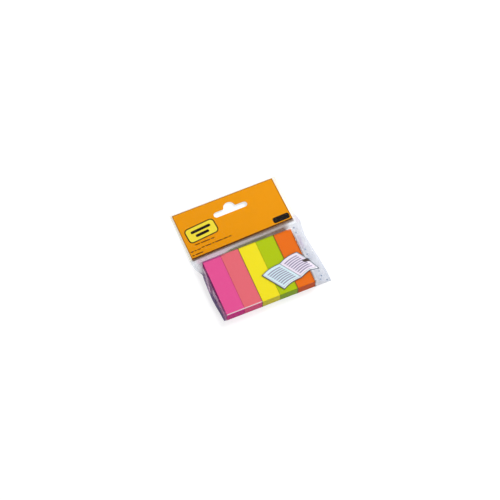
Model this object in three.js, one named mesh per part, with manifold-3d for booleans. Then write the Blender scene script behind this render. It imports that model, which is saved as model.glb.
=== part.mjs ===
// Hang pack of paper index tabs: pads side by side in a clear film pouch, under a board header
// with a hang slot, all in one film bag. The pack lies on its back. Sizes are in millimetres:
// X runs across the pack, +Y towards the header and Z up from the table.
import * as THREE from 'three';
import { mergeVertices } from 'three/addons/utils/BufferGeometryUtils.js';
import Module from 'manifold-3d';

const wasm = await Module();
wasm.setup();

// Pads: stacks of loose-edged sheets, in order from the left, with how far each stack is pressed
const padWidth = 15;
const padLength = 50;
const padGap = 0.1;
const sheetThickness = 0.1;
const sheetsPerPad = 100;
const pads = [
  { name: 'pad_pink', colour: 0xe9549b, pressed: 0 },
  { name: 'pad_coral', colour: 0xe96c7b, pressed: 0 },
  { name: 'pad_yellow', colour: 0xf1ea32, pressed: 0.3 },
  { name: 'pad_green', colour: 0xafcc35, pressed: 0.3 },
  { name: 'pad_orange', colour: 0xee6f2e, pressed: 0.6 },
];

// Film: its wall, the play around what it holds, and the slit where two walls leave a weld
const filmGauge = 0.1;
const play = 0.15;
const slit = 0.06;
const sideWeld = 1.6;

// Cross-weld between the pouch and the header, with air vents through it
const slopeRun = 3.3;
const crossWeld = 3.2;
const ventWidth = 3;
const ventSpacing = 44;
const crossWeldRise = { left: 2.4, right: 8.5 };

// Header card, and the film that frames it
const cardWidth = 86.5;
const cardLength = 42.7;
const cardThickness = 0.4;
const cardToWeld = 1.2;
const frameLeft = 1.8;
const frameRight = 2.9;
const frameTop = 1;
const shoulder = 0.4;

// Hang slot: a long band with a round hump over its middle
const slotWidth = 28.6;
const slotHeight = 9.7;
const bandHeight = 4.9;
const humpDiameter = 9.5;
const humpFillet = 1.2;
const slotBelowTop = 6.1;
const slotAside = 1.8;

// Side edges of the pouch, from the pads' far end: how far along the pads, how far out from them
// and how high over the table the welded edge lies
const leftEdge = [
  { along: 0.04, out: 6.6, rise: 3 },
  { along: 0.2, out: 3.8, rise: 4.5 },
  { along: 0.4, out: 4.3, rise: 4.2 },
  { along: 0.8, out: 4.3, rise: 3.4 },
  { along: 1, out: 3, rise: 2 },
];
const rightEdge = [
  { along: 0, out: 8.4, rise: 7.6 },
  { along: 0.4, out: 9.4, rise: 5 },
  { along: 0.6, out: 10.9, rise: 3.4 },
  { along: 0.8, out: 12.2, rise: 1.8 },
  { along: 1, out: 13.7, rise: 0.1 },
];

const padPitch = padWidth + padGap;
const padsRight = pads.length * padPitch - padGap;
const padFloor = filmGauge + play / 2;
const padHeight = (pad) => sheetsPerPad * sheetThickness - pad.pressed;
const pouchTop = padFloor + Math.max(...pads.map(padHeight)) + play + filmGauge;
const weldThickness = 2 * filmGauge + slit;

const weldLow = slopeRun;
const weldHigh = weldLow + crossWeld;
const cardLow = weldHigh + cardToWeld;
const cardHigh = cardLow + cardLength;
const bagTop = cardHigh + frameTop;
const cardLeft = (padsRight - cardWidth) / 2;
const cardRight = cardLeft + cardWidth;
const foldInside = -padLength - play;
const foldOutside = foldInside - filmGauge;

const { lerp, mapLinear, clamp } = THREE.MathUtils;
const ramp = (value, from, to) => clamp((value - from) / (to - from), 0, 1);

// The back of the header leans from the cross-weld down to the table, and twists across it
function headerFloor(x, y) {
  const rise = mapLinear(x, cardLeft, cardRight, crossWeldRise.left, crossWeldRise.right);
  return rise * (bagTop - y) / (bagTop - weldLow);
}

// Points of one side edge from the fold to the top, as lowest y first
function sidePoints(edge, place, headerX) {
  const pouch = edge.map(({ along, out, rise }) => ({
    y: along === 1 ? foldOutside : -along * padLength,
    x: place(out),
    z: rise,
  }));
  const header = [weldLow, bagTop].map((y) => ({ y, x: headerX, z: headerFloor(headerX, y) }));
  return [...pouch.reverse(), ...header];
}

const leftPoints = sidePoints(leftEdge, (out) => -out, cardLeft - frameLeft);
const rightPoints = sidePoints(rightEdge, (out) => padsRight + out, cardRight + frameRight);

// Place of a side edge at a height up the pack
function edgeAt(points, y) {
  const above = points.findIndex((point) => point.y >= y);
  const next = Math.max(above, 1);
  const [a, b] = [points[next - 1], points[next]];
  const share = ramp(y, a.y, b.y);
  return { x: lerp(a.x, b.x, share), z: lerp(a.z, b.z, share) };
}

// Lines across the pouch: two edges, two welds, the slopes to the pads and a line between pads
const slopeShares = [1, 2 / 3, 1 / 3];
const padLines = pads.slice(1).map((pad, i) => (i + 1) * padPitch - padGap / 2);
const slopeProfile = [...slopeShares, 0, ...padLines.map(() => 0), 0, ...[...slopeShares].reverse()];

function pouchLines(y, wall) {
  const [left, right] = [edgeAt(leftPoints, y).x, edgeAt(rightPoints, y).x];
  const [padsFrom, padsTo] = [-play - wall, padsRight + play + wall];
  const leftSlope = slopeShares.map((share) => lerp(padsFrom, left + sideWeld, share));
  const rightSlope = slopeShares.map((share) => lerp(padsTo, right - sideWeld, share)).reverse();
  const inner = [...leftSlope, padsFrom, ...padLines, padsTo, ...rightSlope];
  return wall ? [left, ...inner, right] : inner;
}

// Lines across the header: its edges, the shoulders of the card's pocket and even steps between
const pocketLeft = cardLeft - play;
const pocketRight = cardRight + play;
const pocketLow = cardLow - play;
const pocketHigh = cardHigh + play;
const pocketSteps = slopeProfile.length - 5;

function pocketLines() {
  return Array.from({ length: pocketSteps + 1 }, (_, i) => lerp(pocketLeft, pocketRight, i / pocketSteps));
}

function headerLines() {
  const [left, right] = [cardLeft - frameLeft, cardRight + frameRight];
  const leftShoulder = [left, pocketLeft - shoulder, pocketLeft - filmGauge];
  const rightShoulder = [pocketRight + filmGauge, pocketRight + shoulder, right];
  return [...leftShoulder, ...pocketLines(), ...rightShoulder];
}

// Rows up the pack, shared by every solid that lies in the same zone
const pouchSteps = 12;
const pouchRows = Array.from({ length: pouchSteps }, (_, i) => lerp(foldOutside, 0, i / pouchSteps)).slice(1);
const slopeRows = [lerp(play, weldLow, 1 / 3), lerp(play, weldLow, 2 / 3)];
const pocketRowSteps = 8;
const pocketRows = Array.from(
  { length: pocketRowSteps + 1 },
  (_, i) => lerp(pocketLow, pocketHigh, i / pocketRowSteps),
);

// A closed grid: rows up the pack, lines across it, and a lower and an upper face
function slab(rows, linesAt, facesAt) {
  const across = linesAt(rows[0]).length - 1;
  const geometry = new THREE.BoxGeometry(1, 1, 1, across, rows.length - 1, 1);
  const position = geometry.attributes.position;
  for (let i = 0; i < position.count; i++) {
    const y = rows[Math.round((position.getY(i) + 0.5) * (rows.length - 1))];
    const line = Math.round((position.getX(i) + 0.5) * across);
    const x = linesAt(y)[line];
    const [low, high] = facesAt(x, y, line);
    position.setXYZ(i, x, y, position.getZ(i) > 0 ? high : low);
  }
  return geometry;
}

// Height of the two faces of the pouch, inside (wall 0) or outside its film
function pouchFaces(x, y, profile, wall) {
  const [left, right] = [edgeAt(leftPoints, y), edgeAt(rightPoints, y)];
  const seam = mapLinear(x, left.x, right.x, left.z, right.z);
  const fall = 1 - (1 - profile) * (1 - ramp(y, play + wall, weldLow));
  const inset = filmGauge - wall;
  return [
    lerp(inset, seam + inset, fall),
    lerp(pouchTop - inset, seam + weldThickness - inset, fall),
  ];
}

function headerFaces(x, y) {
  const across = ramp(x, pocketLeft - shoulder, pocketLeft - filmGauge)
    * ramp(x, pocketRight + shoulder, pocketRight + filmGauge);
  const up = ramp(y, pocketLow - shoulder, pocketLow - filmGauge)
    * ramp(y, pocketHigh + shoulder, pocketHigh + filmGauge);
  const pocketThickness = cardThickness + 2 * play + 2 * filmGauge;
  const floor = headerFloor(x, y);
  return [floor, floor + lerp(weldThickness, pocketThickness, across * up)];
}

function solid(geometry) {
  const bare = geometry.clone();
  bare.deleteAttribute('normal');
  bare.deleteAttribute('uv');
  const merged = mergeVertices(bare, 1e-4);
  return new wasm.Manifold(new wasm.Mesh({
    numProp: 3,
    vertProperties: new Float32Array(merged.attributes.position.array),
    triVerts: new Uint32Array(merged.index.array),
  }));
}

function geometryOf(manifold) {
  const { vertProperties, triVerts } = manifold.getMesh();
  const geometry = new THREE.BufferGeometry();
  geometry.setAttribute('position', new THREE.BufferAttribute(vertProperties, 3));
  geometry.setIndex(new THREE.BufferAttribute(triVerts, 1));
  geometry.computeVertexNormals();
  return geometry;
}

// The hang slot as one upright prism, deep enough to cut film and card together
function slotPrism() {
  const centre = (cardLeft + cardRight) / 2 + slotAside;
  const top = cardHigh - slotBelowTop;
  const low = top - slotHeight;
  const end = bandHeight / 2;
  const hump = humpDiameter / 2;
  const humpY = top - hump;
  const reach = slotWidth / 2 - end;
  const filletY = low + bandHeight + humpFillet;
  const filletX = Math.sqrt((hump + humpFillet) ** 2 - (filletY - humpY) ** 2);
  const lean = Math.atan2(filletY - humpY, filletX);
  const outline = new THREE.Shape();
  outline.absarc(centre + reach, low + end, end, -Math.PI / 2, Math.PI / 2, false);
  outline.absarc(centre + filletX, filletY, humpFillet, -Math.PI / 2, lean - Math.PI, true);
  outline.absarc(centre, humpY, hump, lean, Math.PI - lean, false);
  outline.absarc(centre - filletX, filletY, humpFillet, -lean, -Math.PI / 2, true);
  outline.absarc(centre - reach, low + end, end, Math.PI / 2, 1.5 * Math.PI, false);
  const prism = new THREE.ExtrudeGeometry(outline, {
    depth: 2 * pouchTop,
    bevelEnabled: false,
    curveSegments: 8,
  });
  return solid(prism.translate(0, 0, -pouchTop / 2));
}

// A vent is a shallow channel that joins pouch and pocket through the cross-weld
function ventChannel(x) {
  const rows = [weldLow - play, weldLow, weldHigh, pocketLow + play];
  const lines = [x - ventWidth / 2, x + ventWidth / 2];
  return solid(slab(rows, () => lines, (lineX, y) => {
    const floor = headerFloor(lineX, y) + filmGauge;
    return [floor, floor + slit];
  }));
}

function filmBag() {
  const rows = [
    foldOutside, ...pouchRows, play + filmGauge, ...slopeRows, weldLow, weldHigh,
    pocketLow - shoulder, pocketLow - filmGauge, ...pocketRows,
    pocketHigh + filmGauge, pocketHigh + shoulder, bagTop,
  ];
  const linesAt = (y) => (y <= weldLow ? pouchLines(y, filmGauge) : headerLines());
  const outline = [1, ...slopeProfile, 1];
  const skin = solid(slab(rows, linesAt, (x, y, line) => (
    y <= weldLow ? pouchFaces(x, y, outline[line], filmGauge) : headerFaces(x, y)
  )));
  const pouch = solid(slab(
    [foldInside, ...pouchRows, play, ...slopeRows, weldLow],
    (y) => pouchLines(y, 0),
    (x, y, line) => pouchFaces(x, y, slopeProfile[line], 0),
  ));
  const pocket = solid(slab(pocketRows, pocketLines, (x, y) => {
    const floor = headerFloor(x, y) + filmGauge;
    return [floor, floor + cardThickness + 2 * play];
  }));
  const middle = (cardLeft + cardRight) / 2;
  return skin
    .subtract(pouch)
    .subtract(pocket)
    .subtract(ventChannel(middle - ventSpacing / 2))
    .subtract(ventChannel(middle + ventSpacing / 2))
    .subtract(slotPrism());
}

function headerCard() {
  const steps = (from, to, lines) => [from, ...lines.slice(1, -1), to];
  const lines = steps(cardLeft, cardRight, pocketLines());
  const board = solid(slab(steps(cardLow, cardHigh, pocketRows), () => lines, (x, y) => {
    const floor = headerFloor(x, y) + filmGauge + play;
    return [floor, floor + cardThickness];
  }));
  return board.subtract(slotPrism());
}

const clearFilm = new THREE.MeshStandardMaterial({
  color: 0xe9edf5,
  roughness: 0.15,
  metalness: 0,
  transparent: true,
  opacity: 0.25,
  side: THREE.DoubleSide,
});
const printedBoard = new THREE.MeshStandardMaterial({ color: 0xf09c08, roughness: 0.5, metalness: 0 });

function piece(name, geometry, material) {
  const mesh = new THREE.Mesh(geometry, material);
  mesh.name = name;
  return mesh;
}

function padPiece(pad, index) {
  const height = padHeight(pad);
  const paper = new THREE.MeshStandardMaterial({ color: pad.colour, roughness: 0.85, metalness: 0 });
  const mesh = piece(pad.name, new THREE.BoxGeometry(padWidth, padLength, height), paper);
  mesh.position.set(index * padPitch + padWidth / 2, -padLength / 2, padFloor + height / 2);
  return mesh;
}

// The pack's origin is under the middle of its outer box, on the table
const pack = new THREE.Group();
pack.add(piece('film_bag', geometryOf(filmBag()), clearFilm));
pack.add(piece('header_card', geometryOf(headerCard()), printedBoard));
pads.forEach((pad, index) => pack.add(padPiece(pad, index)));
const outside = new THREE.Box3().setFromObject(pack);
const centre = outside.getCenter(new THREE.Vector3());
pack.position.set(-centre.x, -centre.y, -outside.min.z);

export default pack;
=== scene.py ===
import math
import random

import bpy
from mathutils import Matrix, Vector, noise


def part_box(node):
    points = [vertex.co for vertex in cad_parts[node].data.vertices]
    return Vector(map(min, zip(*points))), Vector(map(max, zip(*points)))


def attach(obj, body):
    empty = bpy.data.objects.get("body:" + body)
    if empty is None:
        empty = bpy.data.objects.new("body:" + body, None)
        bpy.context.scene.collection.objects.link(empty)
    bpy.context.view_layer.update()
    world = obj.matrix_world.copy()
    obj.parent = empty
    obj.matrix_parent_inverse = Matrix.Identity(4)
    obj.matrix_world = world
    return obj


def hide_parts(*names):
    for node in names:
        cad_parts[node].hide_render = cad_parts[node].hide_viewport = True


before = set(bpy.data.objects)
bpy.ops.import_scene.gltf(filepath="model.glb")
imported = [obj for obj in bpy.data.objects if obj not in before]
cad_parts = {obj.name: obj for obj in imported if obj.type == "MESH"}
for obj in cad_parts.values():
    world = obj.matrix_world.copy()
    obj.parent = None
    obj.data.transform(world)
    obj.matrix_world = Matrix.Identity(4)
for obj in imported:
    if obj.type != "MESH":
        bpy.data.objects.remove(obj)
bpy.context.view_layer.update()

# Studio: a white table in a pale room, with a large soft lamp high behind the pack's right side
# and a weaker one low in front. Lamps and room light a level surface to about its own colour, and
# table and room look brighter than they light, so that the ground stays as white as paper.
MM = 0.001
TABLE_SIZE = 4.0
TABLE_COLOUR = "#B4B4B6"
TABLE_GLOW = 0.68
ROOM_LIGHT = 0.38
# each lamp as its place and its side in metres, and its watts
MAIN_LAMP = (Vector((0.61, 0.35, 0.84)), 0.5, 9.0)
FILL_LAMP = (Vector((0.40, -1.00, 0.55)), 0.4, 3.8)
CAMERA_TURN = math.radians(22.98)
CAMERA_HEIGHT = math.radians(65.09)
CAMERA_DISTANCE = 3.0
CAMERA_LENS = 273.89
CAMERA_AIM = Vector((-2.31, -5.60, 10.0)) * MM


def linear(hex_colour):
    """An sRGB hex colour as linear red, green and blue, with a full alpha."""
    levels = [int(hex_colour[i:i + 2], 16) / 255 for i in (1, 3, 5)]
    return [c / 12.92 if c <= 0.04045 else ((c + 0.055) / 1.055) ** 2.4 for c in levels] + [1.0]


def add_node(tree, kind, settings=None, links=None):
    """Add a node, set its sockets or options, and link its inputs to other nodes' outputs."""
    made = tree.nodes.new(kind)
    for name, value in (settings or {}).items():
        if isinstance(name, int) or name in made.inputs:
            made.inputs[name].default_value = value
        else:
            setattr(made, name, value)
    for name, source in (links or {}).items():
        tree.links.new(source, made.inputs[name])
    return made


def new_material(name):
    """An empty node material and its tree."""
    material = bpy.data.materials.new(name)
    material.use_nodes = True
    material.node_tree.nodes.clear()
    return material, material.node_tree


def seen_directly(tree):
    """1 for what the camera, a reflection or a clear surface sees, and 0 for what only lights."""
    path = add_node(tree, "ShaderNodeLightPath")
    seen = add_node(tree, "ShaderNodeMath", {"operation": "MAXIMUM"}, {
        0: path.outputs["Is Camera Ray"], 1: path.outputs["Is Glossy Ray"]})
    return add_node(tree, "ShaderNodeMath", {"operation": "MAXIMUM"}, {
        0: seen.outputs[0], 1: path.outputs["Is Transmission Ray"]}).outputs[0]


table_paper, tree = new_material("white_table")
matt = add_node(tree, "ShaderNodeBsdfDiffuse", {"Color": linear(TABLE_COLOUR)})
glow = add_node(tree, "ShaderNodeMath", {"operation": "MULTIPLY", 1: TABLE_GLOW}, {0: seen_directly(tree)})
lit = add_node(tree, "ShaderNodeEmission", {"Color": linear("#FFFFFF")}, {"Strength": glow.outputs[0]})
both = add_node(tree, "ShaderNodeAddShader", None, {0: matt.outputs[0], 1: lit.outputs[0]})
add_node(tree, "ShaderNodeOutputMaterial", None, {"Surface": both.outputs[0]})

half = TABLE_SIZE / 2
table_mesh = bpy.data.meshes.new("table")
table_mesh.from_pydata([(-half, -half, 0), (half, -half, 0), (half, half, 0), (-half, half, 0)], [],
                       [(0, 1, 2, 3)])
table_mesh.materials.append(table_paper)
table = bpy.data.objects.new("table", table_mesh)
bpy.context.collection.objects.link(table)

room = bpy.data.worlds.new("pale_room")
room.use_nodes = True
bpy.context.scene.world = room
room.node_tree.nodes.clear()
level = add_node(room.node_tree, "ShaderNodeMapRange", {"To Min": ROOM_LIGHT, "To Max": 1.0},
                 {"Value": seen_directly(room.node_tree)})
sky = add_node(room.node_tree, "ShaderNodeBackground", {"Color": linear("#FFFFFF")},
               {"Strength": level.outputs[0]})
add_node(room.node_tree, "ShaderNodeOutputWorld", None, {"Surface": sky.outputs[0]})

for lamp_name, (place, side, watts) in (("soft_lamp", MAIN_LAMP), ("front_fill", FILL_LAMP)):
    lamp_data = bpy.data.lights.new(lamp_name, "AREA")
    lamp_data.size = side
    lamp_data.energy = watts
    lamp = bpy.data.objects.new(lamp_name, lamp_data)
    lamp.location = place
    lamp.rotation_euler = (-place).to_track_quat("-Z", "Y").to_euler()
    bpy.context.collection.objects.link(lamp)

camera_data = bpy.data.cameras.new("camera")
camera_data.lens = CAMERA_LENS
camera = bpy.data.objects.new("camera", camera_data)
sight = Vector((math.sin(CAMERA_TURN) * math.cos(CAMERA_HEIGHT),
                math.cos(CAMERA_TURN) * math.cos(CAMERA_HEIGHT), -math.sin(CAMERA_HEIGHT)))
camera.location = CAMERA_AIM - sight * CAMERA_DISTANCE
camera.rotation_euler = sight.to_track_quat("-Z", "Y").to_euler()
bpy.context.collection.objects.link(camera)
bpy.context.scene.camera = camera
bpy.context.scene.view_settings.view_transform = "Standard"

# Pads: stacks of fluorescent marker sheets, cut together in one stroke and gummed at one end.
# Each stack drifts a little as it is jogged square, so its cut sides show the sheets' edges.
SHEETS = 100
SHEET_AIR = 0.006
SHEET_DRIFT = 0.07
SHEET_JITTER = 0.018
# each pad as its node, its paper, the colour of its top, and the darker colour of its cut sides, which
# holds painted shade
PADS = [
    ("pad_pink", "paper_pink", "#E45394", "#D61989"),
    ("pad_coral", "paper_coral", "#E36A75", "#EA5088"),
    ("pad_yellow", "paper_yellow", "#F0E024", "#DCD230"),
    ("pad_green", "paper_green", "#AEC414", "#8CAE1E"),
    ("pad_orange", "paper_orange", "#E66E1C", "#D2561C"),
]


def span(name):
    """The lowest and highest corners of a node in millimetres."""
    return [Vector(corner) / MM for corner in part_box(name)]


def mesh_piece(name, points, faces, material):
    """A piece of the pack from points in millimetres, riding on its one rigid body."""
    mesh = bpy.data.meshes.new(name)
    mesh.from_pydata([Vector(p) * MM for p in points], [], faces)
    mesh.materials.append(material)
    mesh.update()
    piece = bpy.data.objects.new(name, mesh)
    bpy.context.collection.objects.link(piece)
    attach(piece, "root")
    return piece


def grained(tree, where, grain, detail, low, high):
    """Noise with a grain in millimetres, and a factor between low and high that follows it."""
    grains = add_node(tree, "ShaderNodeTexNoise", {"Scale": 1 / (grain * MM), "Detail": detail},
                      {"Vector": where}).outputs["Fac"]
    factor = add_node(tree, "ShaderNodeMapRange",
                      {"From Min": 0.3, "From Max": 0.7, "To Min": low, "To Max": high}, {"Value": grains})
    return grains, factor.outputs[0]


def marker_paper(name, face, edge):
    """Fluorescent wood-free paper: dead matt, with a faint fibre cloud, and deeper, warmer and darker
    at the cut sides: partly the dye showing in depth, partly painted shade for the sides' dimmer light."""
    material, tree = new_material(name)
    where = add_node(tree, "ShaderNodeTexCoord").outputs["Object"]
    fibre, cloud = grained(tree, where, grain=1.2, detail=4.0, low=0.97, high=1.03)
    stretch = add_node(tree, "ShaderNodeMapping", {"Scale": (0.02, 0.02, 1.0)}, {"Vector": where})
    # the edge lines are drawn at about three sheets' spacing, because one sheet is too fine to show
    cut = grained(tree, stretch.outputs[0], grain=0.3, detail=3.0, low=0.86, high=1.1)[1]
    normal = add_node(tree, "ShaderNodeNewGeometry").outputs["True Normal"]
    up = add_node(tree, "ShaderNodeSeparateXYZ", None, {"Vector": normal}).outputs["Z"]
    flat = add_node(tree, "ShaderNodeMath", {"operation": "ABSOLUTE"}, {0: up}).outputs[0]
    # the cut sides take the side colour: partly the dye in depth, partly painted shade
    hue_and_side_shade = add_node(tree, "ShaderNodeMix", {"data_type": "RGBA", 6: linear(edge), 7: linear(face)},
                   {0: flat})
    tone = add_node(tree, "ShaderNodeMix", None, {0: flat, 2: cut, 3: cloud})
    colour = add_node(tree, "ShaderNodeVectorMath", {"operation": "SCALE"},
                      {0: hue_and_side_shade.outputs[2], "Scale": tone.outputs[0]})
    bump = add_node(tree, "ShaderNodeBump", {"Strength": 0.12, "Distance": 0.02 * MM},
                    {"Height": fibre})
    shader = add_node(tree, "ShaderNodeBsdfPrincipled", {"Roughness": 0.8, "Specular IOR Level": 0.05},
                      {"Base Color": colour.outputs[0], "Normal": bump.outputs[0]})
    add_node(tree, "ShaderNodeOutputMaterial", None, {"Surface": shader.outputs[0]})
    return material


def box_faces(first):
    """The six faces of a box whose eight corners start at one index, lower four first."""
    a, b, c, d, e, f, g, h = range(first, first + 8)
    return [(d, c, b, a), (e, f, g, h), (a, b, f, e), (b, c, g, f), (c, d, h, g), (d, a, e, h)]


def sheet_stack(name, material, seed):
    """A pad as its separate sheets, each a thin box that is nudged by the drift of the stack."""
    low, high = span(name)
    rng = random.Random(seed)
    pitch = (high.z - low.z) / SHEETS
    points, faces = [], []
    for sheet in range(SHEETS):
        # two slow waves up the stack, out of step with each other, carry it aside and along
        turn = sheet / SHEETS * math.tau
        aside = SHEET_DRIFT * (math.sin(turn + seed) - 1) / 2 + rng.uniform(-1, 0) * SHEET_JITTER
        along = SHEET_DRIFT * (math.sin(1.6 * turn + 2 * seed) - 1) / 2 + rng.uniform(-1, 0) * SHEET_JITTER
        x0, x1 = low.x - aside, high.x + aside
        y0, y1 = low.y - along, high.y + along
        z0 = low.z + sheet * pitch
        z1 = z0 + pitch - SHEET_AIR
        faces += box_faces(len(points))
        points += [(x, y, z) for z in (z0, z1) for x, y in ((x0, y0), (x1, y0), (x1, y1), (x0, y1))]
    return mesh_piece(f"{name}_sheets", points, faces, material)


for seed, (node_name, slot_name, face, edge) in enumerate(PADS, 3):
    stack = sheet_stack(node_name, marker_paper(slot_name, face, edge), seed)
    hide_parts(node_name)

# Header card: solid white board, printed orange on its face and varnished, die-cut with square
# corners. It is pushed into the bag's upper pocket and punched together with the film.
CARD_FACE = "#EA9600"
# the cream of the cut edges is partly the board's core and partly a painted reflection of the orange face
CARD_CORE = "#F6E3A8"
CARD_BACK = "#F2F1EE"
FACE_TURN = 0.6
FILM_WALL = 0.1
PLAY = 0.15
CARD_BOARD = 0.4
CARD_LIFT = FILM_WALL + PLAY + CARD_BOARD
WELD_LOW = 3.3
FRAME_TOP = 1.0
# heights of the header's back over the cross-weld, at the card's two sides
CROSS_RISE_LEFT = 2.4
CROSS_RISE_RIGHT = 8.5

pink_low, pink_high = span("pad_pink")
orange_low, orange_high = span("pad_orange")
card_low, card_high = span("header_card")
pads_left, pads_right = pink_low.x, orange_high.x
pads_near, pads_far = pink_low.y, pink_high.y
weld_low = pads_far + WELD_LOW
bag_top = card_high.y + FRAME_TOP


def mix(a, b, share):
    """The value between a and b at a share of the way."""
    return a + (b - a) * share


def ramp(value, start, end):
    """0 before start, 1 after end, and even between."""
    return min(max((value - start) / (end - start), 0.0), 1.0)


def smooth(value, start, end):
    """0 before start, 1 after end, and an S between."""
    share = ramp(value, start, end)
    return share * share * (3 - 2 * share)


def header_floor(x, y):
    """Height of the header's back: it leans down to the table and twists across the pack."""
    rise = mix(CROSS_RISE_LEFT, CROSS_RISE_RIGHT, (x - card_low.x) / (card_high.x - card_low.x))
    return rise * (bag_top - y) / (bag_top - weld_low)


def card_face(x, y):
    """Height of the card's printed face."""
    return header_floor(x, y) + CARD_LIFT


def varnished_board():
    """Coated carton board: an even ink layer with the faint mottle of its clay coat under a
    satin varnish, pale fibres at the die-cut edge, tinted cream partly as a painted reflection
    of the orange face, and a plain uncoated back."""
    material, tree = new_material("varnished_carton_board")
    where = add_node(tree, "ShaderNodeTexCoord").outputs["Object"]
    mottle, tone = grained(tree, where, grain=2.5, detail=5.0, low=0.97, high=1.03)
    orange = add_node(tree, "ShaderNodeVectorMath", {"operation": "SCALE", 0: linear(CARD_FACE)[:3]},
                      {"Scale": tone})
    normal = add_node(tree, "ShaderNodeNewGeometry").outputs["True Normal"]
    up = add_node(tree, "ShaderNodeSeparateXYZ", None, {"Vector": normal}).outputs["Z"]
    front = add_node(tree, "ShaderNodeMath", {"operation": "GREATER_THAN", 1: FACE_TURN},
                     {0: up}).outputs[0]
    behind = add_node(tree, "ShaderNodeMath", {"operation": "LESS_THAN", 1: -FACE_TURN},
                      {0: up}).outputs[0]
    bare = add_node(tree, "ShaderNodeMix",
                    {"data_type": "RGBA", 6: linear(CARD_CORE), 7: linear(CARD_BACK)}, {0: behind})
    colour = add_node(tree, "ShaderNodeMix", {"data_type": "RGBA"},
                      {0: front, 6: bare.outputs[2], 7: orange.outputs[0]})
    rough = add_node(tree, "ShaderNodeMapRange", {"To Min": 0.9, "To Max": 0.42}, {"Value": front})
    bump = add_node(tree, "ShaderNodeBump", {"Strength": 0.08, "Distance": 0.02 * MM},
                    {"Height": mottle})
    shader = add_node(tree, "ShaderNodeBsdfPrincipled", {"Specular IOR Level": 0.08}, {
        "Base Color": colour.outputs[2], "Roughness": rough.outputs[0], "Normal": bump.outputs[0]})
    add_node(tree, "ShaderNodeOutputMaterial", None, {"Surface": shader.outputs[0]})
    return material


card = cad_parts["header_card"]
card.data.materials.clear()
card.data.materials.append(varnished_board())

# Print on the card: flat ink fields with crisp edges. A yellow label with a dark keyline and two
# plain bars, brown bars where small type would be, a dark block, a brown line along the card's
# lower edge that is partly its dark rim and partly painted shadow where the card drops off, and a
# fine line inside its other three, partly a dark edge and partly painted shade along the edge.
INK_FILM = 0.02
INK_LIFT = 0.03
LABEL_PLACE, LABEL_TILT = (11.0, 28.6), math.radians(4)
LABEL_WIDTH, LABEL_HEIGHT, LABEL_ROUND = 24.2, 12.0, 2.5
KEYLINE = 0.9
LABEL_BARS = [(2.0, 17.0), (-2.2, 11.5)]
LABEL_BAR_HEIGHT, LABEL_BAR_ROUND = 2.4, 1.0
SMALL_TYPE = [(19.0, 1.5, (4.2, 7.6, 3.0)), (14.8, 5.5, (2.4, 5.0, 1.6, 6.2, 3.4, 2.4)),
              (14.3, -4.2, (2.6, 1.5, 2.8)), (10.9, -4.0, (1.8, 6.4))]
TYPE_HEIGHT, TYPE_SPACE, TYPE_ROUND = 0.85, 0.9, 0.2
DARK_PLACE = (72.8, 12.4)
DARK_WIDTH, DARK_HEIGHT, DARK_ROUND = 13.8, 5.4, 1.6
LOWER_LINE, LOWER_LINE_UP, LOWER_LINE_MARGIN = 1.1, 0.6, 0.1
RIM_LINE, RIM_MARGIN = 0.45, 0.2


def ink(name, colour):
    """Offset ink: dense and even, with the slight gloss of the varnish over it."""
    material, tree = new_material(name)
    where = add_node(tree, "ShaderNodeTexCoord").outputs["Object"]
    tone = grained(tree, where, grain=0.8, detail=3.0, low=0.94, high=1.06)[1]
    dense = add_node(tree, "ShaderNodeVectorMath", {"operation": "SCALE", 0: linear(colour)[:3]},
                     {"Scale": tone})
    shader = add_node(tree, "ShaderNodeBsdfPrincipled", {"Roughness": 0.45, "Specular IOR Level": 0.08},
                      {"Base Color": dense.outputs[0]})
    add_node(tree, "ShaderNodeOutputMaterial", None, {"Surface": shader.outputs[0]})
    return material


def from_corner(across, up):
    """A place given from the far left corner of the row of pads."""
    return pads_left + across, pads_far + up


def turned(centre, across, up, tilt):
    """A place given from a centre, on axes that are turned by a tilt."""
    return (centre[0] + across * math.cos(tilt) - up * math.sin(tilt),
            centre[1] + across * math.sin(tilt) + up * math.cos(tilt))


def rounded(centre, width, height, radius=0.0, tilt=0.0):
    """A rounded bar as a map from shares across and up it to a place on the pack."""
    def place(u, v):
        up = (v - 0.5) * height
        near_end = max(radius - (height / 2 - abs(up)), 0.0)
        trim = radius - math.sqrt(max(radius ** 2 - near_end ** 2, 0.0))
        return turned(centre, (u - 0.5) * (width - 2 * trim), up, tilt)
    return place


def printed(name, fields, surface, material, across=12, up=12, lift=INK_LIFT):
    """One ink layer: each field is a thin closed skin that lies on a surface of the pack."""
    points, faces = [], []
    for place in fields:
        first = len(points)
        for layer in (0.0, INK_FILM):
            for j in range(up + 1):
                # rows crowd towards the ends, where a round corner turns
                v = (1 - math.cos(math.pi * j / up)) / 2
                for i in range(across + 1):
                    x, y = place(i / across, v)
                    points.append((x, y, surface(x, y) + lift + layer))
        row, sheet = across + 1, (across + 1) * (up + 1)
        for j in range(up):
            for i in range(across):
                a = first + j * row + i
                faces.append((a, a + row, a + row + 1, a + 1))
                faces.append((a + sheet, a + 1 + sheet, a + row + 1 + sheet, a + row + sheet))
        rim = ([first + i for i in range(across)] + [first + j * row + across for j in range(up)]
               + [first + up * row + i for i in range(across, 0, -1)]
               + [first + j * row for j in range(up, 0, -1)])
        faces += [(a, b, b + sheet, a + sheet) for a, b in zip(rim, rim[1:] + rim[:1])]
    piece = mesh_piece(name, points, faces, material)
    return piece


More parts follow.
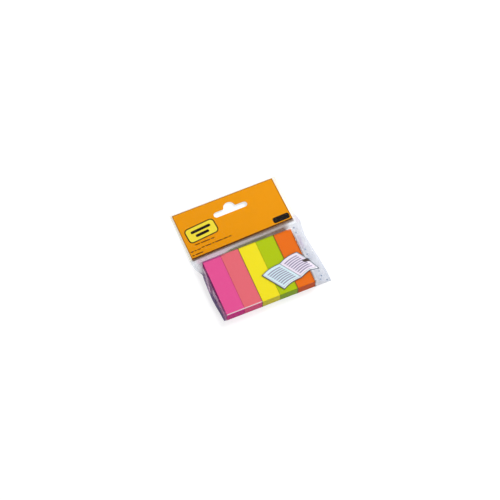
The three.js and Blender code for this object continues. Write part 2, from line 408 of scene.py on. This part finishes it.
yellow_ink = ink("yellow_ink", "#F0DC3C")
black_ink = ink("black_ink", "#150F0A")
brown_ink_and_shadow = ink("brown_ink_and_shadow", "#5A3008")
rim_ink_and_shade = ink("rim_ink_and_shade", "#9A6412")
label_centre = from_corner(*LABEL_PLACE)
keyline = rounded(label_centre, LABEL_WIDTH + 2 * KEYLINE, LABEL_HEIGHT + 2 * KEYLINE,
                  LABEL_ROUND + KEYLINE, LABEL_TILT)
label = rounded(label_centre, LABEL_WIDTH, LABEL_HEIGHT, LABEL_ROUND, LABEL_TILT)
label_bars = [rounded((label_centre[0], label_centre[1] + up), width, LABEL_BAR_HEIGHT, LABEL_BAR_ROUND,
                      LABEL_TILT) for up, width in LABEL_BARS]
printed("label_keyline", [keyline], card_face, black_ink)
printed("label_field", [label], card_face, yellow_ink, lift=INK_LIFT + 1.5 * INK_FILM)
printed("label_bars", label_bars, card_face, black_ink, lift=INK_LIFT + 3 * INK_FILM)
# each row of small type is given by its height, its start and the lengths of its bars
type_bars = []
for height, start, lengths in SMALL_TYPE:
    for length in lengths:
        middle = from_corner(start + length / 2, height)
        type_bars.append(rounded(middle, length, TYPE_HEIGHT, TYPE_ROUND))
        start += length + TYPE_SPACE
printed("type_bars", type_bars, card_face, brown_ink_and_shadow, across=4, up=4)
dark_block = rounded(from_corner(*DARK_PLACE), DARK_WIDTH, DARK_HEIGHT, DARK_ROUND)
printed("dark_block", [dark_block], card_face, black_ink)
card_middle = (card_low + card_high) / 2
card_width, card_length = card_high.x - card_low.x, card_high.y - card_low.y
lower_rim_and_shadow = rounded((card_middle.x, card_low.y + LOWER_LINE_UP), card_width - 2 * LOWER_LINE_MARGIN,
                     LOWER_LINE)
# the lower line is partly the card's dark rim and partly painted shadow where the card drops off
printed("lower_rim_and_shadow", [lower_rim_and_shadow], card_face, brown_ink_and_shadow, across=40, up=2)
rims = [rounded((card_middle.x, card_high.y - RIM_LINE), card_width - 2 * RIM_MARGIN, RIM_LINE)]
rims += [rounded((side, card_middle.y), RIM_LINE, card_length - 2 * RIM_MARGIN)
         for side in (card_low.x + RIM_LINE, card_high.x - RIM_LINE)]
# the rim lines are partly a dark printed edge and partly painted shade along the card's edges
printed("card_rim", rims, card_face, rim_ink_and_shade, across=20, up=20)

# Film bag: one sheet of clear polypropylene, folded at the bottom and heat-welded up both sides,
# across between pouch and header and along the top. It is drawn tight over the pads and gathers
# into pleats and creases wherever it runs down to a weld, and turns milky where it is welded.
FILM_GAUGE = 0.05
FILM_SHEEN, GRAZING_SHEEN, FILM_RIPPLE = 0.002, 0.2, 5.0
SIDE_WELD, CROSS_WELD = 1.6, 3.2
FRAME_LEFT, FRAME_RIGHT = 1.8, 2.9
SHOULDER = 0.4
WELD_GAP = 0.09
POUCH_TOP = pink_high.z + PLAY + FILM_WALL / 2
POCKET_THICKNESS = CARD_BOARD + 2 * PLAY + FILM_WALL
# each side edge, as a share of the pads' length from their far end, the way out, and the height
LEFT_EDGE = [(0.04, 6.4, 3.0), (0.16, 3.4, 4.5), (0.24, 3.9, 4.4), (0.4, 4.3, 4.2), (0.6, 4.5, 3.8),
             (0.75, 4.0, 3.4), (0.87, 3.2, 2.7), (1.0, 2.6, 2.0)]
RIGHT_EDGE = [(0.0, 9.6, 7.6), (0.16, 8.9, 6.5), (0.4, 10.3, 5.0), (0.6, 12.0, 3.4), (0.8, 13.1, 1.8),
              (0.92, 13.6, 0.8), (1.0, 13.7, 0.1)]
RIGHT_FLARE, FLARE_RUN = 1.8, 5.0
fold = pads_near - PLAY - FILM_WALL / 2
weld_high = weld_low + CROSS_WELD
pocket_left, pocket_right = card_low.x - PLAY, card_high.x + PLAY
pocket_low, pocket_high = card_low.y - PLAY, card_high.y + PLAY
pads_length = pads_far - pads_near


def side_points(edge, place, header_x, flare=0.0):
    """A side edge from the fold to the top as (y, x, z) points, flared at the header's foot."""
    points = [(fold if along == 1.0 else pads_far - along * pads_length, place(out), rise)
              for along, out, rise in reversed(edge)]
    header = [(weld_low, header_x + flare), (pocket_low + FLARE_RUN, header_x), (bag_top, header_x)]
    return points + [(y, x, header_floor(x, y)) for y, x in header]


left_points = side_points(LEFT_EDGE, lambda out: pads_left - out, card_low.x - FRAME_LEFT)
right_points = side_points(RIGHT_EDGE, lambda out: pads_right + out, card_high.x + FRAME_RIGHT, RIGHT_FLARE)


def edge_at(points, y):
    """Place and height of a side edge at one y."""
    for (y0, x0, z0), (y1, x1, z1) in zip(points, points[1:]):
        if y <= y1:
            share = ramp(y, y0, y1)
            return mix(x0, x1, share), mix(z0, z1, share)
    return points[-1][1:]


def slopes(x, y):
    """How far a point lies down the slopes: to the left weld, the right weld, the cross-weld."""
    left, right = edge_at(left_points, y)[0], edge_at(right_points, y)[0]
    return (ramp(-x, -(pads_left - PLAY), -(left + SIDE_WELD)),
            ramp(x, pads_right + PLAY, right - SIDE_WELD), ramp(y, pads_far + PLAY, weld_low))


def over_card(x, y):
    """1 over the card and 0 past the shoulder that the film makes round its sides and top."""
    return (ramp(x, pocket_left - SHOULDER, pocket_left) * ramp(-x, -pocket_right - SHOULDER, -pocket_right)
            * ramp(-y, -pocket_high - SHOULDER, -pocket_high))


def film_heights(x, y):
    """Heights of the back and front walls of the bag, in the middle of the film."""
    if y > weld_low:
        raised = over_card(x, y) * ramp(y, pocket_low - SHOULDER, pocket_low)
        floor = header_floor(x, y) + FILM_WALL / 2
        return floor, floor + mix(WELD_GAP, POCKET_THICKNESS, raised)
    left_x, left_z = edge_at(left_points, y)
    right_x, right_z = edge_at(right_points, y)
    seam = mix(left_z, right_z, ramp(x, left_x, right_x)) + FILM_WALL / 2
    left, right, top = slopes(x, y)
    fall = 1 - (1 - max(left, right)) * (1 - top)
    return mix(FILM_WALL / 2, seam, fall), mix(POUCH_TOP, seam + WELD_GAP, fall)


# The film's creases: gathers over the cross-weld, broad folds in the right flap, faint waves where
# it is taut over the pads, and pleats in the left gusset. Each is a wave that wanders a little.
GATHER_DEPTH, FLAP_DEPTH, TAUT_DEPTH, PLEAT_DEPTH = 0.2, 0.3, 0.02, 0.3
# each wave as its turns across and along the film, its wander, and the noise that it wanders by
GATHER_WAVE, FLAP_WAVE = (1.9, 0.0, 3.0, (8, 8, 5.0)), (0.4, 0.24, 2.5, (14, 12, 2.0))
TAUT_WAVE, PLEAT_WAVE = (0.7, 0.35, 2.0, (15, 15, 1.0)), (0.0, 0.8, 3.0, (1, 9, 9.0))


def slow_noise(x, y, run_x, run_y, seed):
    """A noise about 0 that changes over one run across the film and another along it."""
    return noise.noise(Vector((x / run_x, y / run_y, seed)))


def waver(x, y, turn_x, turn_y, wander, drift):
    """A wave along a slanting direction that a slow noise bends to and fro."""
    return math.sin(turn_x * x + turn_y * y + wander * slow_noise(x, y, *drift))


def arch(share):
    """0 at both ends of a slope and 1 halfway down it."""
    return 4 * share * (1 - share)


def wrinkle(x, y):
    """Height that creases add to the front wall of the pouch."""
    if y > weld_low:
        return 0.0
    left, right, top = slopes(x, y)
    over_pads = (1 - left) * (1 - right) * (1 - top)
    gather = GATHER_DEPTH * arch(top) * waver(x, y, *GATHER_WAVE)
    flap = FLAP_DEPTH * arch(right) * waver(x, y, *FLAP_WAVE)
    taut = TAUT_DEPTH * over_pads * (1 + waver(x, y, *TAUT_WAVE))
    return gather + flap + taut


def front_film(x, y):
    """Height of the front wall with its creases."""
    return film_heights(x, y)[1] + wrinkle(x, y)


# Looks of the film: how hazy each stretch is, and the tint of its haze. Many tints are painted
# light: the dark lines and the plum, slate and ash stretches hold painted shade, the white and
# lilac glints are painted highlights, and the cream round the card is painted reflection.
# A look is kept as its haze, then its tint times the haze, so that two looks mix evenly.
LOOKS = {name: [haze] + [level * haze for level in linear(tint)[:3]] for name, (haze, tint) in {
    "clear": (0.0, "#FFFFFF"), "frame milk and reflection": (0.10, "#F8EFC8"), "header foot": (0.12, "#B4AACC"),
    "band end": (0.12, "#D8E2F0"), "band left": (0.30, "#E8C8DC"), "band middle shade": (0.32, "#C4B4B2"),
    "band right shade": (0.40, "#C4B4B2"), "pink edge shade": (0.34, "#8C4C8C"),
    "green edge shade": (0.46, "#6D6A28"), "orange edge shade": (0.46, "#7E5440"),
    "card drop shadow": (0.42, "#744400"), "inner flap": (0.23, "#BCC7DC"), "outer flap": (0.17, "#BCC7DC"),
    "flap shade": (0.30, "#B4AACC"), "flap weld": (0.14, "#BCC7DC"), "low flap weld": (0.22, "#BCC7DC"),
    "pad edge shade": (0.34, "#1A1208"), "flap glint": (0.14, "#FFFFFF"), "yellow seam shade": (0.4, "#1A1208"),
    "orange seam shade": (0.5, "#1A1208"), "far corner glint": (0.35, "#FFFFFF"), "fold glint": (0.5, "#FFFFFF"),
    "gusset": (0.5, "#A03898"), "low gusset": (0.34, "#A03898"), "gusset weld": (0.36, "#7858A0"),
    "low gusset weld": (0.5, "#7858A0"), "upper glint": (0.24, "#FFBCF6"),
    "lower glint": (0.28, "#FFBCF6"), "lowest glint": (0.5, "#F08CD4"),
    "gusset top": (0.14, "#D8E2F0"), "gusset top fold": (0.2, "#A03898"),
}.items()}


def mix_looks(look, other, share):
    """The film look between two others."""
    return [mix(a, b, share) for a, b in zip(look, other)]


def towards(look, name, share):
    """A film look moved some way towards a named one."""
    return mix_looks(look, LOOKS[name], share)


def between(first, second, share):
    """The film look between two named ones."""
    return mix_looks(LOOKS[first], LOOKS[second], share)


def streak(value, centre, core, edge):
    """1 within core of a line's centre, 0 past edge, and even between."""
    return 1 - ramp(abs(value - centre), core, edge)


def across_pads(x):
    """A place across the bag as a share of the row of pads, from its left side."""
    return (x - pads_left) / (pads_right - pads_left)


def down_pads(y):
    """A place along the bag as a share of the pads' length, from their far end."""
    return (pads_far - y) / pads_length


# Film between pads and card. Where its looks change is given in shares across the pads, and the
# lines' widths are in millimetres past the pads' far edge: appears, full, still full and gone.
POCKET_FADE, CARD_EDGE_FADE = 0.3, 0.5
BAND_STARTS, BAND_ENDS = (-0.07, 0.0), (0.95, 1.02)
BAND_GREYS, BAND_DEEPENS = (0.15, 0.5), (0.7, 0.9)
PINK_LINE, FAR_LINE = (-1.4, -0.6, 0.2, 0.8), (-0.5, 0.2, 3.3, 4.3)
LINE_STARTS, LINE_WIDENS = (-0.01, 0.0), (0.15, 0.35)
LINE_REDDENS, LINE_ENDS = (0.7, 0.85), (0.93, 0.97)
STEP_STARTS, STEP_WIDENS, STEP_FULL = (5.8, 4.6), (0.55, 0.7), 7.4
STEP_GOES = (0.2, 0.7)
FOOT_ASIDE, FOOT_UP = (0.3, 1.5), (1.0, 6.0)


def band_look(look, x, y):
    """Film look between pads and card: mauve to ash grey, pale at both ends. The ash grey is the film's
    milk darkened by painted shade of the gap between pads and card.
    """
    across = across_pads(x)
    reach = 1 - smooth(y, pocket_low - POCKET_FADE, pocket_low)
    inner = smooth(across, *BAND_STARTS) * (1 - smooth(across, *BAND_ENDS))
    grey = smooth(across, *BAND_GREYS)
    look = towards(look, "band end", reach * (1 - inner))
    look = towards(look, "band left", reach * inner * (1 - grey))
    ash = between("band middle shade", "band right shade", smooth(across, *BAND_DEEPENS))
    return mix_looks(look, ash, reach * inner * grey)


def edge_lines(look, x, y):
    """Film look with the two dark lines of the band, both painted shade: over the pads' far edge, in the
    colour of the pads below, and a brown painted shadow where the film drops off the card's lower edge."""
    across, past = across_pads(x), y - pads_far
    wide, red = smooth(across, *LINE_WIDENS), smooth(across, *LINE_REDDENS)
    appears, full, still_full, gone = (mix(a, b, wide) for a, b in zip(PINK_LINE, FAR_LINE))
    line = ramp(past, appears, full) * (1 - ramp(past, still_full, gone))
    line *= ramp(across, *LINE_STARTS) * (1 - smooth(across, *LINE_ENDS))
    look = towards(look, "pink edge shade", line * (1 - wide))
    look = towards(look, "green edge shade", line * wide * (1 - red))
    look = towards(look, "orange edge shade", line * wide * red)
    on_card = ramp(x - card_low.x, -CARD_EDGE_FADE, CARD_EDGE_FADE)
    on_card *= 1 - ramp(x - card_high.x, -CARD_EDGE_FADE, CARD_EDGE_FADE)
    # painted brown shadow under the card's lower edge
    step = smooth(past, mix(*STEP_STARTS, smooth(across, *STEP_WIDENS)), STEP_FULL)
    step *= 1 - smooth(y - card_low.y, *STEP_GOES)
    return towards(look, "card drop shadow", on_card * step)


def header_look(x, y):
    """Film look from the cross-weld up: clear over the card, milky round it with a cream painted reflection
    of the orange card, violet at its foot.
    """
    look = towards(LOOKS["clear"], "frame milk and reflection", 1 - over_card(x, y))
    foot = smooth(x - card_high.x, *FOOT_ASIDE) * (1 - smooth(y - pocket_low, *FOOT_UP))
    look = mix_looks(band_look(look, x, y), look, foot)
    return edge_lines(towards(look, "header foot", foot), x, y)


# Film down both sides. The left gusset's two glints each run from one distance out to another,
# between two shares down the pads. The right flap changes in shares of its slope and of the pads.
UPPER_GLINT, UPPER_RUN = (0.9, 3.3), (0.14, 0.45)
LOWER_GLINT, LOWER_RUN = (1.85, 0.75), (0.5, 0.95)
GLINTS_CHANGE, GLINT_REDDENS = (0.44, 0.54), (0.55, 0.8)
GLINT_TO_WELD, WELD_FADE = 0.5, 0.5
GUSSET_STARTS, TOP_FOLD = (0.08, 0.17), (1.0, 3.2)
FLAP_STARTS, FLAP_CLEARS = (0.0, 0.15), (0.25, 0.9)
FLAP_CLOUD, CLOUD_DRIFT = 0.07, (8, 6, 4.0)
SHADE_IN, SHADE_OUT, SHADE_STARTS, SHADE_ENDS = (0.0, 0.1), (0.35, 0.75), (0.12, 0.22), (0.28, 0.42)
PAD_EDGE_STARTS = (0.05, 0.15)
FLAP_GLINT_OUT, FLAP_GLINT_SHARE = 1.6, 0.6
BAND_ON_SLOPE, LINES_ON_FLAP = (0.0, 0.3), (0.0, 0.1)
WELD_INNER, WELD_OUTER, WELD_LOWERS = 1.9, 1.1, (0.5, 0.85)
# painted shade lines at the steps between pads, along the yellow and orange pads' left sides
SEAMS = [(span("pad_yellow")[0].x, "yellow seam shade"), (orange_low.x, "orange seam shade")]
SEAM_WIDTH = 0.4
CORNER_ASIDE, CORNER_RUN, CORNER_FLATNESS = 1.2, (0.8, 2.6), 2


def gusset_look(x, y):
    """Film look down the left side: plum painted shade in the fold beside the pad, slate at the outer
    weld, which is the weld's milk with painted shadow, and between them two slanting painted glints,
    one running out to the weld and one in to the pad."""
    out, down = pads_left - x, down_pads(y)
    upper = mix(*UPPER_GLINT, ramp(down, *UPPER_RUN))
    lower = mix(*LOWER_GLINT, ramp(down, *LOWER_RUN))
    low, red = smooth(down, *GLINTS_CHANGE), smooth(down, *GLINT_REDDENS)
    weld = mix(upper, lower, low) + GLINT_TO_WELD
    look = between("gusset", "low gusset", low)
    weld_shadow_look = between("gusset weld", "low gusset weld", low)
    look = mix_looks(look, weld_shadow_look, smooth(out - weld, 0.0, WELD_FADE))
    look = towards(look, "upper glint", (1 - low) * streak(out, upper, core=0.3, edge=0.9))
    lower_glint = low * streak(out, lower, core=0.2, edge=0.7)
    look = towards(look, "lower glint", lower_glint * (1 - red))
    look = towards(look, "lowest glint", lower_glint * red)
    far = 1 - smooth(down, *GUSSET_STARTS)
    look = towards(look, "gusset top", far)
    # at the far end, plum painted shade beside the pad
    return towards(look, "gusset top fold", far * (1 - smooth(out, *TOP_FOLD)))


def flap_look(x, y, right, top):
    """Film look down the right flap: a pale cloudy blue with a painted violet shade near the pads'
    far end, and beside the pads a painted shade line where it turns down and a painted glint where
    it catches light."""
    down = down_pads(y)
    flap = between("inner flap", "outer flap", smooth(right, *FLAP_CLEARS))
    cloud = FLAP_CLOUD * slow_noise(x, y, *CLOUD_DRIFT)
    flap = [level * (1 + cloud / flap[0]) for level in flap]
    look = mix_looks(LOOKS["clear"], flap, smooth(right, *FLAP_STARTS))
    shade = smooth(down, *SHADE_STARTS) * (1 - smooth(down, *SHADE_ENDS))
    shade *= smooth(right, *SHADE_IN) * (1 - smooth(right, *SHADE_OUT))
    look = towards(look, "flap shade", shade)
    pad_edge_shade = streak(x, pads_right + PLAY, core=0.2, edge=0.8) * smooth(down, *PAD_EDGE_STARTS)
    look = towards(look, "pad edge shade", pad_edge_shade)
    glint = FLAP_GLINT_SHARE * streak(x, pads_right + FLAP_GLINT_OUT, core=0.2, edge=0.9)
    return towards(look, "flap glint", glint * (1 - top))


def film_look(x, y):
    """Haze and colour of the film at one place: clear over the pads, milky down the slopes, and
    dark with painted shade in fine lines where the film turns down beside the pads and over the
    steps between pads, with a painted highlight at the pads' far right corner."""
    if y > weld_low:
        return header_look(x, y)
    left, right, top = slopes(x, y)
    if left > 0:
        return gusset_look(x, y)
    look = flap_look(x, y, right, top)
    for place, seam in SEAMS:
        look = towards(look, seam, streak(x, place, core=0.0, edge=SEAM_WIDTH))
    look = mix_looks(look, band_look(look, x, y), smooth(top, *BAND_ON_SLOPE) * (1 - right))
    look = mix_looks(look, edge_lines(look, x, y), 1 - ramp(right, *LINES_ON_FLAP))
    # a painted highlight on the film at the pads' far right corner
    from_far_corner = math.hypot(x - pads_right + CORNER_ASIDE, (y - pads_far) * CORNER_FLATNESS)
    look = towards(look, "far corner glint", 1 - ramp(from_far_corner, *CORNER_RUN))
    inside = edge_at(right_points, y)[0] - x
    weld = between("flap weld", "low flap weld", smooth(down_pads(y), *WELD_LOWERS))
    return mix_looks(look, weld, 1 - smooth(inside, WELD_OUTER, WELD_INNER))


def polypropylene():
    """Cast polypropylene film: water-clear and glossy, with a faint ripple in its gloss, and
    milky where it is welded or creased, in the tint given to each place, which also holds
    painted shade, painted highlights and painted reflection."""
    material, tree = new_material("clear_polypropylene")
    haze = add_node(tree, "ShaderNodeAttribute", {"attribute_name": "haze"}).outputs["Fac"]
    milk = add_node(tree, "ShaderNodeAttribute", {"attribute_name": "milk"}).outputs["Color"]
    tint = add_node(tree, "ShaderNodeVectorMath", {"operation": "DIVIDE"}, {0: milk, 1: haze}).outputs[0]
    where = add_node(tree, "ShaderNodeTexCoord").outputs["Object"]
    ripple = add_node(tree, "ShaderNodeTexNoise", {"Scale": 1 / (FILM_RIPPLE * MM), "Detail": 2.0},
                      {"Vector": where})
    bump = add_node(tree, "ShaderNodeBump", {"Strength": 0.25, "Distance": 0.25 * MM},
                    {"Height": ripple.outputs["Fac"]})
    facing = add_node(tree, "ShaderNodeLayerWeight", {"Blend": 0.5}, {"Normal": bump.outputs[0]})
    graze = add_node(tree, "ShaderNodeMath", {"operation": "POWER", 1: 5.0}, {0: facing.outputs["Facing"]})
    gloss = add_node(tree, "ShaderNodeMapRange", {"To Min": FILM_SHEEN, "To Max": GRAZING_SHEEN},
                     {"Value": graze.outputs[0]})
    clear = add_node(tree, "ShaderNodeBsdfTransparent")
    cloudy = add_node(tree, "ShaderNodeBsdfPrincipled", {"Roughness": 0.4, "Specular IOR Level": 0.2},
                      {"Base Color": tint, "Normal": bump.outputs[0]})
    shine = add_node(tree, "ShaderNodeBsdfGlossy", {"Roughness": 0.06}, {"Normal": bump.outputs[0]})
    body = add_node(tree, "ShaderNodeMixShader", None, {0: haze, 1: clear.outputs[0], 2: cloudy.outputs[0]})
    film = add_node(tree, "ShaderNodeMixShader", None,
                    {0: gloss.outputs[0], 1: body.outputs[0], 2: shine.outputs[0]})
    add_node(tree, "ShaderNodeOutputMaterial", None, {"Surface": film.outputs[0]})
    return material


# The sheet itself, as rows of points across the bag: sparse where the film is flat, and close
# together on the slopes, at the welds and along the pads' seams, where it bends or its look turns.
PAD_SPACING, CARD_SPACING, SLOPE_SPACING, EDGE_SPACING = 0.95, 1.0, 0.45, 0.4
FOLD_SHARES = (0.12, 0.25, 0.4, 0.55, 0.7, 0.85, 0.96)
FOLD_BULGE, FOLD_TURN, FIRST_ROW = 0.12, 0.25, 0.4
FOLD_GLINT_STARTS, FOLD_GLINT_ENDS, FOLD_GLINT_WIDTH = (-1.5, 0.0), (28.0, 31.0), 0.3
LEFT_LINES, MIDDLE_LINES, RIGHT_LINES = 20, 84, 26
middle_shares = [i / MIDDLE_LINES for i in range(MIDDLE_LINES)]
for place, _ in SEAMS:
    middle_shares += [(place + step * SEAM_WIDTH - pads_left + PLAY) / (pads_right - pads_left + 2 * PLAY)
                      for step in (-1, 0, 1)]
middle_shares.sort()


def even(start, end, step):
    """Even stops from start up to, and without, end."""
    count = max(round(abs(end - start) / step), 1)
    return [mix(start, end, i / count) for i in range(count)]


def film_lines(y):
    """Places across the bag at one y: the flaps finely, the middle evenly and at the seams."""
    left, right = edge_at(left_points, y)[0], edge_at(right_points, y)[0]
    header = smooth(y, weld_low, pocket_low)
    inner_left = mix(pads_left - PLAY, pocket_left, header)
    inner_right = mix(pads_right + PLAY, pocket_right, header)
    return ([mix(left, inner_left, i / LEFT_LINES) for i in range(LEFT_LINES)]
            + [mix(inner_left, inner_right, share) for share in middle_shares]
            + [mix(inner_right, right, i / RIGHT_LINES) for i in range(RIGHT_LINES + 1)])


def film_rows():
    """Rows of the sheet from the top of the back, round the fold, to the top of the front. Each
    is a place along the bag and a share from the back wall to the front one."""
    upward = (even(fold, pads_far + PLAY, PAD_SPACING) + even(pads_far + PLAY, weld_high, SLOPE_SPACING)
              + even(weld_high, pocket_low, EDGE_SPACING) + even(pocket_low, pocket_high, CARD_SPACING)
              + even(pocket_high, bag_top, EDGE_SPACING) + [bag_top])
    upward = [fold, fold + FOLD_TURN] + [y for y in upward[1:] if y > fold + FIRST_ROW]
    return ([(y, 0.0) for y in reversed(upward)] + [(fold, share) for share in FOLD_SHARES]
            + [(y, 1.0) for y in upward])


def film_sheet():
    """The folded sheet: down the back, round the fold, and up the front."""
    rows = film_rows()
    points, haze, milk = [], [], []
    for y, share in rows:
        for x in film_lines(y):
            back, front = film_heights(x, y)
            # the left gusset is steep, so its pleats push sideways
            pleat = PLEAT_DEPTH * arch(slopes(x, y)[0]) * waver(share, y, *PLEAT_WAVE)
            bulge = FOLD_BULGE * math.sin(math.pi * share) if y == fold else 0.0
            points.append((x - pleat * share, y - bulge, mix(back, front + wrinkle(x, y), share)))
            look = film_look(x, y)
            if share == 1.0 and y <= fold + FOLD_GLINT_WIDTH:
                glint = smooth(x - pads_left, *FOLD_GLINT_STARTS)
                glint *= 1 - smooth(x - pads_left, *FOLD_GLINT_ENDS)
                look = towards(look, "fold glint", glint)
            haze.append(look[0])
            milk += look[1:] + [1.0]
    across = LEFT_LINES + len(middle_shares) + RIGHT_LINES + 1
    faces = [(a, a + 1, a + 1 + across, a + across)
             for j in range(len(rows) - 1) for a in range(j * across, j * across + across - 1)]
    sheet = mesh_piece("film_bag_sheet", points, faces, polypropylene())
    sheet.data.attributes.new("haze", "FLOAT", "POINT").data.foreach_set("value", haze)
    sheet.data.attributes.new("milk", "FLOAT_COLOR", "POINT").data.foreach_set("color", milk)
    return sheet


# Hang slot: a band with round ends and a hump over its middle, so that it hangs on wide and on
# single hooks. One punch cuts it through bag and card together once the card is in its pocket.
SLOT_WIDTH, SLOT_HEIGHT, BAND_HEIGHT = 28.6, 9.7, 4.9
HUMP_RADIUS, HUMP_FILLET = 4.75, 1.2
SLOT_BELOW_TOP, SLOT_ASIDE = 6.1, 1.8
PUNCH_STROKE = (-5.0, 15.0)


def arc(centre, radius, start, end, steps=12):
    """Points on an arc from one angle to another, in even steps."""
    return [(centre[0] + radius * math.cos(mix(start, end, i / steps)),
             centre[1] + radius * math.sin(mix(start, end, i / steps))) for i in range(steps + 1)]


def slot_outline():
    """The slot's outline, counterclockwise from the right end of its lower edge."""
    middle = (card_low.x + card_high.x) / 2 + SLOT_ASIDE
    top = card_high.y - SLOT_BELOW_TOP
    low, hump_y = top - SLOT_HEIGHT, top - HUMP_RADIUS
    end = BAND_HEIGHT / 2
    reach = SLOT_WIDTH / 2 - end
    fillet_y = low + BAND_HEIGHT + HUMP_FILLET
    fillet_x = math.sqrt((HUMP_RADIUS + HUMP_FILLET) ** 2 - (fillet_y - hump_y) ** 2)
    lean = math.atan2(fillet_y - hump_y, fillet_x)
    return (arc((middle + reach, low + end), end, -math.pi / 2, math.pi / 2)
            + arc((middle + fillet_x, fillet_y), HUMP_FILLET, -math.pi / 2, lean - math.pi, 6)
            + arc((middle, hump_y), HUMP_RADIUS, lean, math.pi - lean, 24)
            + arc((middle - fillet_x, fillet_y), HUMP_FILLET, -lean, -math.pi / 2, 6)
            + arc((middle - reach, low + end), end, math.pi / 2, 1.5 * math.pi))


def punched(piece):
    """Give the film its real thickness and punch the slot through both walls."""
    outline = slot_outline()
    count = len(outline)
    points = [(x, y, z) for z in PUNCH_STROKE for x, y in outline]
    faces = [tuple(reversed(range(count))), tuple(range(count, 2 * count))]
    faces += [(i, (i + 1) % count, (i + 1) % count + count, i + count) for i in range(count)]
    mesh = bpy.data.meshes.new("punch")
    mesh.from_pydata([Vector(p) * MM for p in points], [], faces)
    punch = bpy.data.objects.new("punch", mesh)
    bpy.context.collection.objects.link(punch)
    thicken = piece.modifiers.new("gauge", "SOLIDIFY")
    thicken.thickness = FILM_GAUGE * MM
    thicken.offset = 0.0
    cut = piece.modifiers.new("slot", "BOOLEAN")
    cut.operation = "DIFFERENCE"
    cut.solver = "EXACT"
    cut.object = punch
    made = bpy.data.meshes.new_from_object(piece.evaluated_get(bpy.context.evaluated_depsgraph_get()))
    piece.modifiers.clear()
    piece.data = made
    bpy.data.objects.remove(punch)


bag = film_sheet()
punched(bag)
for polygon in bag.data.polygons:
    polygon.use_smooth = True
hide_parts("film_bag")

# Print on the pouch film: a plain pictogram of an open book with one index tab, and small grey
# dashes down the right flap. White, tinted and grey inks, laid on the outside of the film.
BOOK_PLACE, BOOK_TILT, BOOK_SHEAR = (61.0, -34.0), math.radians(14), -0.36
PAGE_WIDTH, PAGE_HEIGHT, PAGE_CURL = 17.0, 19.5, 1.1
FILM_INK_LIFT = 0.04
# shares of a page: the outline round it, the block's margin, and the gaps kept at the spine
OUTLINE, MARGIN = 0.022, 0.05
BLOCK_SPINE, PAGE_SPINE = 0.01, 0.012
TEXT_ROWS, TEXT_FROM, TEXT_TO = 8, 0.12, 0.84
TEXT_FOOT, TEXT_PITCH, TEXT_BAR = 0.14, 0.098, 0.045
TAB = (0.76, 1.04, 0.40, 0.55)
DASHES = [(78.0, -0.5), (78.0, -5.0), (79.5, -20.5), (79.0, -25.0), (78.5, -29.5), (82.4, -41.0),
          (82.6, -45.0), (80.4, -48.4), (86.0, -49.0)]
DASH_WIDTH, DASH_HEIGHT, DASH_ROUND = 1.3, 1.1, 0.3
book_centre = from_corner(*BOOK_PLACE)


def on_page(u, v, side):
    """Place on the film of a point on one page, from the spine outwards and up the page."""
    up = (v - 0.5) * PAGE_HEIGHT + PAGE_CURL * math.sin(math.pi * min(u, 1.0))
    return turned(book_centre, side * u * PAGE_WIDTH + BOOK_SHEAR * up, up, BOOK_TILT)


def page_field(side, u0, u1, v0, v1):
    """A field on a page between two shares across it and two up it."""
    def place(u, v):
        across = mix(u0, u1, u if side > 0 else 1 - u)
        return on_page(across, mix(v0, v1, v), side)
    return place


def film_print(name, fields, material, layer, across=44, up=30):
    """Ink on the film, each layer over the one before."""
    lift = FILM_INK_LIFT + layer * 1.5 * INK_FILM
    return printed(name, fields, front_film, material, across, up, lift)


slate_ink = ink("slate_ink", "#4E5768")
block_ink = ink("block_ink", "#F2F4F8")
tab_ink = ink("tab_ink", "#4A4040")
page_blue = ink("pale_blue_ink", "#D2E8EF")
page_lilac = ink("pale_lilac_ink", "#E9DFEE")
type_ink = ink("grey_type_ink", "#8E88A4")
dash_ink = ink("dash_ink", "#77869E")

outlines = [page_field(side, 0.0, 1 + OUTLINE, -OUTLINE, 1 + OUTLINE) for side in (-1, 1)]
blocks = [page_field(side, BLOCK_SPINE, 1 - OUTLINE, OUTLINE / 2, 1 - OUTLINE / 2) for side in (-1, 1)]
block_lines = [page_field(side, 0.0, 1 - MARGIN, MARGIN, 1 - OUTLINE) for side in (-1, 1)]
left_page, right_page = (page_field(side, PAGE_SPINE, 1 - MARGIN - OUTLINE / 2, MARGIN + OUTLINE / 2,
                                    1 - OUTLINE) for side in (-1, 1))
text_feet = [(side, TEXT_FOOT + TEXT_PITCH * row) for side in (-1, 1) for row in range(TEXT_ROWS)]
text_bars = [page_field(side, TEXT_FROM, TEXT_TO, foot, foot + TEXT_BAR) for side, foot in text_feet]
flap_dashes = [rounded(from_corner(*place), DASH_WIDTH, DASH_HEIGHT, DASH_ROUND) for place in DASHES]
film_print("book_outline", outlines, slate_ink, 0)
film_print("page_block", blocks, block_ink, 1)
film_print("block_lines", block_lines, slate_ink, 2)
film_print("left_page", [left_page], page_blue, 3)
film_print("right_page", [right_page], page_lilac, 3)
film_print("page_lines", text_bars, type_ink, 4, across=30, up=2)
film_print("page_tab", [page_field(1, *TAB)], tab_ink, 5)
film_print("flap_dashes", flap_dashes, dash_ink, 0, across=6, up=6)
